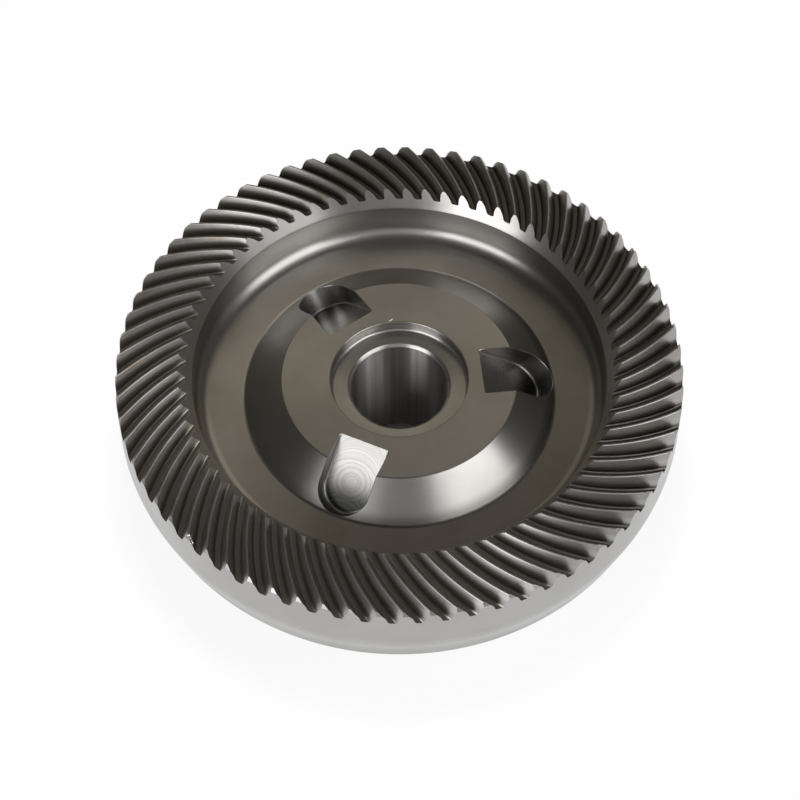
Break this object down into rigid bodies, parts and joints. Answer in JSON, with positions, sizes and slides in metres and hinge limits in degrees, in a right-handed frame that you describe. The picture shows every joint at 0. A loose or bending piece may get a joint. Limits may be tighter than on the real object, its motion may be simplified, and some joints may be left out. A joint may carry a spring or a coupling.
{
  "type": "spiral bevel gear",
  "caption": "Flat spiral bevel ring gear in oiled steel, with a dished web, a counterbored hub with sloping milled pockets, a plain shaft bore and a rear hub.",
  "frame": {"origin": "centre of the shaft bore at the rear hub's back face", "axes": "+Z along the shaft axis, towards the toothed side; +X is 6 degrees short of the middle of one pocket"},
  "size_m": [0.0864, 0.0864, 0.0288],
  "materials": {
    "gear_steel": "hardened, satin, with an oil film"
  },
  "bodies": {
    "root": {"bevel_gear": "gear_steel"}
  },
  "joints": []
}
